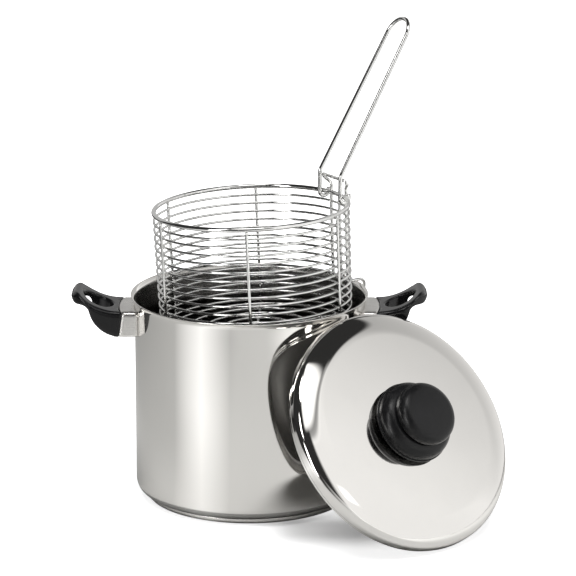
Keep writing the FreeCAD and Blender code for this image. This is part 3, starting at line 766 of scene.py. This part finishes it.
def grip_outline(h):
    """Plan of the grip's outside: the joint's arc, straight sides and round tip corners."""
    middle = (h.joint_top + h.joint_bottom) / 2
    y = h.half_width
    root = math.sqrt(middle ** 2 - y ** 2)
    half = math.degrees(math.asin(y / middle))
    corner = h.corner
    side = [straight((root, -y), (h.tip - corner, -y), 40),
            bend((h.tip - corner, -y + corner), corner, -90, 0, 40),
            straight((h.tip, -y + corner), (h.tip, y - corner), 20),
            bend((h.tip - corner, y - corner), corner, 0, 90, 40),
            straight((h.tip - corner, y), (root, y), 40),
            bend((0, 0), middle, half, -half, 60)]
    return np.concatenate(side)


def grip_points(h):
    """Closed loop: for each direction from the slot's middle, a round-cornered section
    between the oval slot and the outside plan, its top and bottom from the side view."""
    count = 220
    turn = np.linspace(-np.pi, np.pi, count, endpoint=False)
    outline = grip_outline(h) - np.array([h.slot_centre, 0])
    bearing = np.arctan2(outline[:, 1], outline[:, 0])
    order = np.argsort(bearing)
    outer = np.interp(turn, bearing[order], np.hypot(outline[:, 0], outline[:, 1])[order], period=2 * np.pi)
    inner = 1 / np.sqrt((np.cos(turn) / h.slot_half_length) ** 2 + (np.sin(turn) / h.slot_half_width) ** 2)
    quarter = np.radians(np.linspace(0, 90, 7))
    flat = np.linspace(1, -1, 16)[1:-1]
    wall = np.linspace(-1, 1, 8)[1:-1]
    ones, none = np.ones_like, np.zeros_like

    def both(*runs):
        """Outer wall and top, then inner wall and bottom, which run the other way."""
        run = np.concatenate(runs)
        return np.concatenate([run, -run])

    across = both(ones(wall), ones(quarter), flat, -ones(quarter))
    across_round = both(ones(wall), np.cos(quarter), none(flat), -np.sin(quarter))
    up = both(wall, ones(quarter), ones(flat), ones(quarter))
    up_round = both(none(wall), np.sin(quarter), ones(flat), np.cos(quarter))
    crest = np.concatenate([np.linspace(0, 1, len(wall)), ones(quarter), np.linspace(1, 0, len(flat))])
    crest = np.pad(crest, (0, len(across) - len(crest)))
    half = ((outer - inner) / 2)[:, None]
    centre = ((outer + inner) / 2)[:, None]
    limit = h.edge + (np.minimum(h.crest, 0.8 * half) - h.edge) * crest
    reach = centre + (half - limit) * across + limit * across_round
    x = np.minimum(h.slot_centre + reach * np.cos(turn)[:, None], h.tip - 0.02 * MM)
    y = reach * np.sin(turn)[:, None]
    top, bottom = grip_top(h, x), grip_bottom(h, x)
    tall = (top - bottom) / 2
    soft = np.minimum(limit, 0.75 * tall)
    z = (top + bottom) / 2 + (tall - soft) * up + soft * up_round
    middle = (h.joint_top + h.joint_bottom) / 2
    slot_end = h.slot_centre - h.slot_half_length
    share = np.clip((slot_end - x) / (slot_end - middle), 0, 1)
    x = x + (joint_distance(h, z) - middle) * share * share * (3 - 2 * share)
    points = np.stack([x, y, z], -1)
    return points, grid_faces(count, points.shape[1], True, True)


class FRYER_OT_handles(bpy.types.Operator):
    """Make both side handles: satin ferrule and black moulded loop"""
    bl_idname = "fryer.handles"
    bl_label = "Side handles"

    def execute(self, context):
        h = context.scene.fryer_handle
        finish = context.scene.fryer_finish
        kinds = (("_ferrule", "satin_steel", satin_ferrule(finish),
                  ferrule_points(h, context.scene.fryer_pot.radius)),
                 ("_grip", "black_bakelite", black_moulding(finish), grip_points(h)))
        for side, half_turn in (("right", 0.0), ("left", math.pi)):
            carry = turn_about("Z", half_turn).T
            for kind, slot, material, (points, faces) in kinds:
                add_piece(side + kind, "pot", slot, material, [side + "_handle" + kind], points @ carry, faces)
        return {"FINISHED"}


def upright_radius(b, z):
    return b.ring_radius + b.upright_offset + b.taper * z


def side_radius(b, z):
    return upright_radius(b, z) - (b.upright_wire + b.side_wire) / 2 - b.touch


def side_heights(b):
    return -b.first_drop - np.arange(SIDE_RINGS) * b.pitch


def bottom_height(b):
    return float(side_heights(b)[-1]) - b.bottom_drop


def bottom_radii(b):
    outer = side_radius(b, bottom_height(b)) - b.bottom_bend
    return np.linspace(b.bottom_inner, outer, BOTTOM_RINGS)


def ring_points(radius, wire, z):
    """A ring of round wire: the big circle plus the wire's circle on each of its radii."""
    t, s = around(SMALL_ROUND)[:, None], around(WIRE_SIDES)
    reach = radius + wire / 2 * np.cos(s)
    points = joined(reach * np.cos(t), reach * np.sin(t), z + wire / 2 * np.sin(s))
    return points, grid_faces(SMALL_ROUND, WIRE_SIDES, True, True)


class FRYER_OT_rings(bpy.types.Operator):
    """Make the basket's top ring, side rings and bottom rings"""
    bl_idname = "fryer.rings"
    bl_label = "Basket rings"

    def execute(self, context):
        b = context.scene.fryer_basket
        chrome = wire_chrome(context.scene.fryer_finish)
        rings = [("basket_top_ring", b.ring_radius, b.ring_wire, 0.0)]
        for number, z in enumerate(side_heights(b)):
            rings.append(("basket_side_ring_%02d" % (number + 1), side_radius(b, z), b.side_wire, z))
        floor = bottom_height(b) + (b.upright_wire + b.side_wire) / 2 + b.touch
        for number, radius in enumerate(bottom_radii(b)):
            rings.append(("basket_bottom_ring_%d" % (number + 1), radius, b.side_wire, floor))
        for node, radius, wire, z in rings:
            points, faces = ring_points(radius, wire, z)
            add_piece(node + "_wire", "basket", "chromed_wire", chrome, [node], in_basket(b, points), faces)
        return {"FINISHED"}


def wire_piece(context, body, node, path, diameter):
    """One bent wire with domed ends, put in the basket's place."""
    points, faces = tube(*round_ends(path, diameter / 2))
    add_piece(node + "_wire", body, "chromed_wire", wire_chrome(context.scene.fryer_finish), [node],
              in_basket(context.scene.fryer_basket, points), faces)


class FRYER_OT_uprights(bpy.types.Operator):
    """Make the uprights that run down outside the side rings and in under the bottom"""
    bl_idname = "fryer.uprights"
    bl_label = "Basket uprights"

    def execute(self, context):
        b = context.scene.fryer_basket
        beside = b.upright_offset - b.upright_wire / 2
        top = -math.sqrt((b.ring_wire / 2 + b.touch) ** 2 - beside ** 2)
        low = bottom_height(b)
        path = bent_path([(upright_radius(b, top), 0, top), (upright_radius(b, low), 0, low),
                          (b.bottom_inner - b.side_wire / 2, 0, low)], [b.bottom_bend], 0.8 * MM)
        for number in range(UPRIGHTS):
            turned_path = path @ turn_about("Z", number * UPRIGHT_TURN).T
            wire_piece(context, "basket", "basket_upright_%d" % (number + 1), turned_path, b.upright_wire)
        return {"FINISHED"}


def hinge_x(b):
    return math.sqrt(b.ring_radius ** 2 - b.handle_half ** 2)


def eye_radius(b):
    return (b.ring_wire + b.handle_wire) / 2 + b.handle_clear


def leg_corner_x(b):
    return hinge_x(b) - eye_radius(b) * math.tan((math.pi / 2 + b.handle_lower) / 2)


def leg_x(b, z):
    return leg_corner_x(b) + (z + eye_radius(b)) * math.tan(b.handle_lower)


def touching_x(b, radius, wire):
    return math.sqrt((radius + (wire + b.hanger_wire) / 2 + b.touch) ** 2 - b.hanger_half ** 2)


def mirrored(half):
    """A half path and its mirror image in the plane of the handle, joined end to end."""
    half = np.asarray(half, float)
    return np.concatenate([half, half[::-1] * np.array([1.0, -1.0, 1.0])])


class FRYER_OT_hanger(bpy.types.Operator):
    """Make the hanger: stop bar, two legs and the drain hook over the pot's lip"""
    bl_idname = "fryer.hanger"
    bl_label = "Hanger"

    def execute(self, context):
        b = context.scene.fryer_basket
        apart = (b.handle_wire + b.hanger_wire) / 2 + b.stop_gap
        bar_x = leg_x(b, b.bar_rise) + apart / math.cos(b.handle_lower)
        ring_x = touching_x(b, b.ring_radius, b.ring_wire)
        side_x = touching_x(b, side_radius(b, -b.first_drop), b.side_wire)
        leg = touching_x(b, side_radius(b, -b.hook_below), b.side_wire)
        out = b.hook_seat + b.hook_over
        w = b.hanger_half
        half = [(bar_x, b.stop_gap, b.bar_rise), (bar_x, b.bar_half, b.bar_rise), (ring_x, w, b.arm_rise),
                (ring_x, w, -b.ring_wire / 2), (side_x, w, -b.first_drop), (leg, w, -b.hook_below),
                (out, w, -b.hook_below), (out, w, -b.hook_below - b.hook_drop)]
        bends = [b.bar_bend, b.bar_bend, b.hanger_bend, 2 * b.hanger_bend] + [b.hanger_bend] * 3
        path = bent_path(mirrored(half), bends + bends[::-1], 0.7 * MM)
        wire_piece(context, "basket", "basket_hanger", path, b.hanger_wire)
        return {"FINISHED"}


class FRYER_OT_basket_handle(bpy.types.Operator):
    """Make the folding handle: eyes round the top ring, kinked legs and a round end"""
    bl_idname = "fryer.basket_handle"
    bl_label = "Folding handle"

    def execute(self, context):
        b = context.scene.fryer_basket
        eye = eye_radius(b)
        hx = hinge_x(b)
        w = b.handle_half
        kink = np.array([leg_x(b, b.handle_kink), w, b.handle_kink])
        way = np.array([math.sin(b.handle_upper), 0, math.cos(b.handle_upper)])
        end = kink + way * (b.handle_leg + b.handle_end)
        end[1] = b.handle_end
        half = [(hx + eye, w, b.handle_tip), (hx + eye, w, -eye), (leg_corner_x(b), w, -eye), kink, end]
        bends = [eye, eye, b.handle_bend, b.handle_end]
        path = bent_path(mirrored(half), bends + bends[::-1], 0.8 * MM)
        wire_piece(context, "basket_handle", "basket_handle", path, b.handle_wire)
        return {"FINISHED"}


class FRYER_OT_welds(bpy.types.Operator):
    """Make the small weld spots where the basket's wires cross: a flattened ball at each turn,
    radius and height"""
    bl_idname = "fryer.welds"
    bl_label = "Welds"

    def execute(self, context):
        b = context.scene.fryer_basket
        z = side_heights(b)
        sides = np.arange(UPRIGHTS) * UPRIGHT_TURN
        uprights = joined(sides[:, None], side_radius(b, z) + b.side_wire / 2, z).reshape(-1, 3)
        low = bottom_height(b) + b.upright_wire / 2
        bottoms = joined(sides[:, None], bottom_radii(b), low).reshape(-1, 3)
        legs_z = z[z > -b.hook_below]
        legs_r = side_radius(b, legs_z) + b.side_wire / 2
        lean = np.arcsin(b.hanger_half / legs_r)
        legs = [joined(side * lean, legs_r, legs_z) for side in (1, -1)]
        tops = joined(sides, b.ring_radius + 0.8 * b.ring_wire / 2, -0.68 * b.ring_wire / 2)
        spots = np.concatenate([uprights, bottoms, *legs, tops])
        a, r, z = (column[:, None] for column in spots.T)
        rows, columns = 6, 10
        u, v = around(columns), np.linspace(0, np.pi, rows)[:, None]
        ball = joined(np.sin(v) * np.cos(u), np.sin(v) * np.sin(u), np.cos(v)).reshape(-1, 3)
        out, along, up = (ball * np.array(WELD) * MM).T
        x = r + out
        points = joined(x * np.cos(a) - along * np.sin(a), x * np.sin(a) + along * np.cos(a), z + up)
        first = rows * columns * np.arange(len(spots))[:, None, None]
        faces = (grid_faces(rows, columns, False, True)[None] + first).reshape(-1, 4)
        add_piece("basket_welds", "basket", "chromed_wire", weld_chrome(context.scene.fryer_finish), [],
                  in_basket(b, points.reshape(-1, 3)), faces)
        return {"FINISHED"}


class FRYER_OT_lid(bpy.types.Operator):
    """Make the pressed lid: rim band, step, skirt, round corner, broad shoulder and low dome"""
    bl_idname = "fryer.lid"
    bl_label = "Lid"

    def execute(self, context):
        s = context.scene.fryer_lid
        step = s.skirt - s.rim
        crease = 0.2 * MM
        hem = (s.rim - s.wall / 2, s.wall / 2)
        turn = math.degrees(s.corner_angle)
        corner = (s.skirt - s.corner, s.skirt_height)
        reach = s.corner - s.shoulder
        shoulder = (corner[0] + reach * math.cos(s.corner_angle), corner[1] + reach * math.sin(s.corner_angle))
        dome, slope = crown_over(shoulder, s.shoulder, s.apex)

        def skin(depth):
            """Corner, shoulder and dome at a depth below the outside."""
            hole = 90 - math.degrees(math.asin(s.hole / (dome - depth)))
            return np.concatenate([
                bend(corner, s.corner - depth, 0, turn, 24),
                bend(shoulder, s.shoulder - depth, turn, slope, 40),
                bend((0, s.apex - dome), dome - depth, slope, hole, 50)])

        profile = np.concatenate([
            bend(hem, s.wall / 2, -180, 0, 10),
            straight((s.rim, hem[1]), (s.rim, s.band - step - crease), 4),
            straight((s.rim, s.band - step), (s.skirt, s.band), 5),
            straight((s.skirt, s.band + crease), (s.skirt, s.skirt_height), 5),
            skin(0),
            skin(s.wall)[::-1],
            straight((s.skirt - s.wall, s.skirt_height), (s.skirt - s.wall, s.band + crease), 5)[1:],
            straight((s.skirt - s.wall, s.band), (s.rim - s.wall, s.band - step), 5),
            straight((s.rim - s.wall, s.band - step - crease), (s.rim - s.wall, hem[1]), 4)])
        points, faces = turned(profile, ROUND)
        add_piece("lid", "lid", "polished_steel", lid_steel(context.scene.fryer_finish, s), ["lid_shell"],
                  in_lid(s, points), faces)
        return {"FINISHED"}


class FRYER_OT_knob(bpy.types.Operator):
    """Make the black knob: foot, stepped flange, round shoulder, groove and softly domed cap"""
    bl_idname = "fryer.knob"
    bl_label = "Knob"

    def execute(self, context):
        s = context.scene.fryer_lid
        base = s.apex + PLAY
        seat, hollow, rim, brim, shelf, waist, cap_low, cap_side = (
            s.apex + height * MM for height in (1.5, 1.6, 1.4, 4.6, 5.8, 20.5, 23.5, 27.0))
        foot, flange, neck, cap = s.knob_foot, s.knob_flange, s.knob_neck, s.knob_cap
        flare, groove, bead, soft, lip, step = (size * MM for size in (0.3, 0.4, 0.5, 1.0, 1.2, 1.3))
        top = s.apex + s.knob_height
        corner = (cap - s.knob_corner, cap_side)
        crown, slope = crown_over(corner, s.knob_corner, top)
        start, end = (flange - step, shelf), (neck + step, waist)
        full = ((2 * start[0] + end[0]) / 3 + step, (start[1] + 2 * end[1]) / 3)
        profile = np.concatenate([
            straight((0, base), (foot - bead, base), 4),
            bend((foot - bead, base + bead), bead, -90, 0, 4),
            straight((foot, base + bead), (foot + flare, seat), 3),
            straight((foot + flare, hollow), (flange - step, rim), 10),
            bend((flange - lip, brim), lip, -90, 0, 8),
            bend((flange - bead, shelf - bead), bead, 0, 90, 5),
            straight((flange - bead, shelf), start, 2),
            arc_through(start, full, end, 40),
            straight(end, (neck + groove, waist), 3),
            bend((neck + groove, waist + groove), groove, 270, 180, 4),
            straight((neck, waist + groove), (neck, cap_low - groove), 3),
            bend((neck + groove, cap_low - groove), groove, 180, 90, 4),
            straight((neck + groove, cap_low), (cap - soft, cap_low), 4),
            bend((cap - soft, cap_low + soft), soft, -90, 0, 8),
            straight((cap, cap_low + soft), (cap, corner[1]), 4),
            bend(corner, s.knob_corner, 0, slope, 30),
            bend((0, top - crown), crown, slope, 90, 24),
            [(0, top)]])
        points, faces = turned(profile, SMALL_ROUND)
        add_piece("knob", "lid", "black_bakelite", satin_knob(context.scene.fryer_finish), ["lid_knob"],
                  in_lid(s, points), faces)
        return {"FINISHED"}


class FRYER_OT_hardware(bpy.types.Operator):
    """Give the screws, brackets, washer, sleeve and base core their finishes"""
    bl_idname = "fryer.hardware"
    bl_label = "Hardware"

    def execute(self, context):
        finish = context.scene.fryer_finish
        steel = plain_metal("screw_steel", shades(finish.satin, 0.82)[0][:3], 0.24)
        core = plain_metal("base_core_aluminium", tuple(finish.aluminium), 0.38)
        brass = plain_metal("sleeve_brass", tuple(finish.brass), 0.26)
        for name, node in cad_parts.items():
            if not node.hide_render:
                node.data.materials.clear()
                node.data.materials.append({"base_core": core, "knob_insert": brass}.get(name, steel))
        return {"FINISHED"}


# Stage

def floor_material(finish):
    """Pale table, white to the camera except in a painted soft shadow in front of the pot. Mirrors see
    it grey with painted light and shade, darker to the left and the front and lighter on the right,
    with a painted fan of window light that opens to the front left. Past its edge they see a dark
    room on the left, a pale one on the right and a dimmer one behind."""
    material = bpy.data.materials.new("table")
    at = empty_tree(material, "Object")
    camera, glossy, clear = ray_kinds(at)
    x, y, reach = at.axis("X"), at.axis("Y"), at.size()
    front = y * -1.0
    turn = x.math("ARCTAN2", front)
    start, way = (-0.045, -0.100), (-0.750, -0.661)
    from_x, from_y = x - start[0], y - start[1]
    along = from_x * way[0] + from_y * way[1]
    aside = from_x * way[1] - from_y * way[0]
    spread = (aside / (along + 0.05)).math("ABSOLUTE")
    # The fan is painted window light: a pool on the table that only mirrors see.
    fan = (1.04 - spread * 1.75).math("MAXIMUM", 0.0) * along.step(-0.03, 0.02)
    fan = fan * (0.34 + along.step(0.05, 0.40) * 0.36)
    # Painted light and shade on the table as mirrors see it: darker to the left and the front, lighter on the
    # right.
    middle, left_fall, front_fall, right_rise = 0.57, 0.09, 0.11, 0.24
    near = middle - (x * -1.0).step(0.08, 0.35) * left_fall - front.step(0.15, 0.75) * front_fall
    near = near + x.step(0.18, 0.50) * right_rise
    dark, right_rise, back_fall = 0.05, 0.65, 0.24
    room = dark + turn.step(-0.40, 0.55) * right_rise - turn.step(1.70, 2.50) * back_fall
    edge = reach.step(0.80, 0.95)
    tone = near * (1 - edge) + edge * room
    grey = tone.node("ShaderNodeCombineColor", None, {0: tone, 1: tone, 2: tone * 0.985})
    # Painted shadow: the table's glow to the camera drops in this patch between the pot and the lid.
    shadow = x.band(0.02, 0.13, 0.03) * front.band(0.080, 0.150, 0.025)
    deepest, open_rise, far_rise = 0.18, 0.62, 0.7
    fill = deepest + (1 - shadow) * open_rise + reach.step(0.22, 0.60) * far_rise
    plain, shaded = shades(finish.floor, 1.0, 0.85)
    diffuse = at.node("ShaderNodeBsdfDiffuse", None, {"Color": camera.mix(glossy.mix(plain, grey), shaded)})
    light = (camera + clear) * fill + glossy * fan
    glow = at.node("ShaderNodeEmission", None, {"Color": light, "Strength": 1.0})
    both = at.node("ShaderNodeAddShader", None, {0: diffuse, 1: glow})
    both.node("ShaderNodeOutputMaterial", None, {0: both})
    return material


def studio_world():
    """White room to the camera. Mirrors see a dark room with the patches of light listed above,
    a pale wall on the right that darkens upwards and to the back, a dim backdrop, and the
    table's glow low at the front. Turn is the azimuth and z the sine of the elevation."""
    world = bpy.data.worlds.new("studio")
    way = empty_tree(world, "Generated")
    camera, glossy, clear = ray_kinds(way)
    z = way.axis("Z")
    turn = way.axis("X").math("ARCTAN2", way.axis("Y") * -1.0)
    pale = (1.46 - turn.step(1.25, 1.95) * 0.54 - z * 0.62).math("MINIMUM", 1.0)
    wall = turn.band(0.47, 2.66, 0.06) * z.band(-0.30, 0.76, 0.02) * pale
    behind = (1 - turn.band(-2.15, 2.62, 0.10)) * (1 - z.step(0.50, 0.65))
    low = turn.step(-0.40, 0.55) * (1 - turn.step(0.47, 0.52)) * (1 - z.step(0.20, 0.35))
    dark, backdrop, glow, diffuse = 0.03, 0.50, 0.90, 0.25
    seen = dark + wall + behind * backdrop + low * glow
    for brightness, azimuth, height in ROOM.values():
        seen = seen + turn.band(*azimuth) * z.band(*height) * brightness
    strength = camera + clear + glossy * seen + (1 - camera - clear - glossy) * diffuse
    sky = way.node("ShaderNodeBackground", None, {"Color": (1.0, 0.995, 0.985, 1.0), "Strength": strength})
    sky.node("ShaderNodeOutputWorld", None, {0: sky})
    return world


def lamp(name, spot, aim, size, power):
    """A round soft lamp that points at its aim and is not seen in mirrors."""
    data = bpy.data.lights.new(name, "AREA")
    data.shape = "DISK"
    data.size = size
    data.energy = power
    obj = bpy.data.objects.new(name, data)
    bpy.context.scene.collection.objects.link(obj)
    obj.location = spot
    way = unit(np.array(aim) - np.array(spot))
    obj.rotation_euler = (math.acos(-way[2]), 0, math.atan2(way[0], -way[1]))
    obj.visible_glossy = False


class FRYER_OT_stage(bpy.types.Operator):
    """Set the table, the soft studio light and the camera"""
    bl_idname = "fryer.stage"
    bl_label = "Stage"

    def execute(self, context):
        scene = context.scene
        mesh = bpy.data.meshes.new("table")
        table = bpy.data.objects.new("table", mesh)
        scene.collection.objects.link(table)
        signs = ((-1, -1), (1, -1), (1, 1), (-1, 1))
        corners = [(x * TABLE_HALF, y * TABLE_HALF, TABLE_TOP) for x, y in signs]
        mesh.from_pydata(corners, [], [(0, 1, 2, 3)])
        mesh.materials.append(floor_material(scene.fryer_finish))
        scene.world = studio_world()
        for row in LAMPS:
            lamp(*row)
        data = bpy.data.cameras.new("camera")
        camera = bpy.data.objects.new("camera", data)
        scene.collection.objects.link(camera)
        data.lens = LENS
        data.sensor_width = SENSOR
        data.clip_end = SIGHT
        camera.location = CAMERA_PLACE
        camera.rotation_euler = (math.radians(CAMERA_TILT), 0.0, 0.0)
        scene.camera = camera
        scene.view_settings.view_transform = "Standard"
        return {"FINISHED"}


STEPS = (FRYER_OT_stage, FRYER_OT_pot, FRYER_OT_base, FRYER_OT_handles, FRYER_OT_rings,
         FRYER_OT_uprights, FRYER_OT_hanger, FRYER_OT_basket_handle, FRYER_OT_welds,
         FRYER_OT_lid, FRYER_OT_knob, FRYER_OT_hardware)


class FRYER_PT_panel(bpy.types.Panel):
    """Lists the fryer's pieces, sizes and colours"""
    bl_idname = "FRYER_PT_panel"
    bl_label = "Deep fryer"
    bl_space_type = "VIEW_3D"
    bl_region_type = "UI"
    bl_category = "Fryer"

    def draw(self, context):
        for step in STEPS:
            self.layout.operator(step.bl_idname)
        for name, group in GROUPS.items():
            box = self.layout.box()
            for key in group.__annotations__:
                box.prop(getattr(context.scene, name), key)


def register():
    for cls in (*GROUPS.values(), *STEPS, FRYER_PT_panel):
        bpy.utils.register_class(cls)
    for name, group in GROUPS.items():
        setattr(bpy.types.Scene, name, bpy.props.PointerProperty(type=group))


def unregister():
    for name in GROUPS:
        delattr(bpy.types.Scene, name)
    for cls in reversed((*GROUPS.values(), *STEPS, FRYER_PT_panel)):
        bpy.utils.unregister_class(cls)


def main():
    register()
    for obj in [o for o in bpy.context.scene.objects if o.type in ("LIGHT", "CAMERA")]:
        bpy.data.objects.remove(obj)
    for step in STEPS:
        group, name = step.bl_idname.split(".")
        getattr(getattr(bpy.ops, group), name)()


if __name__ == "__main__":
    main()
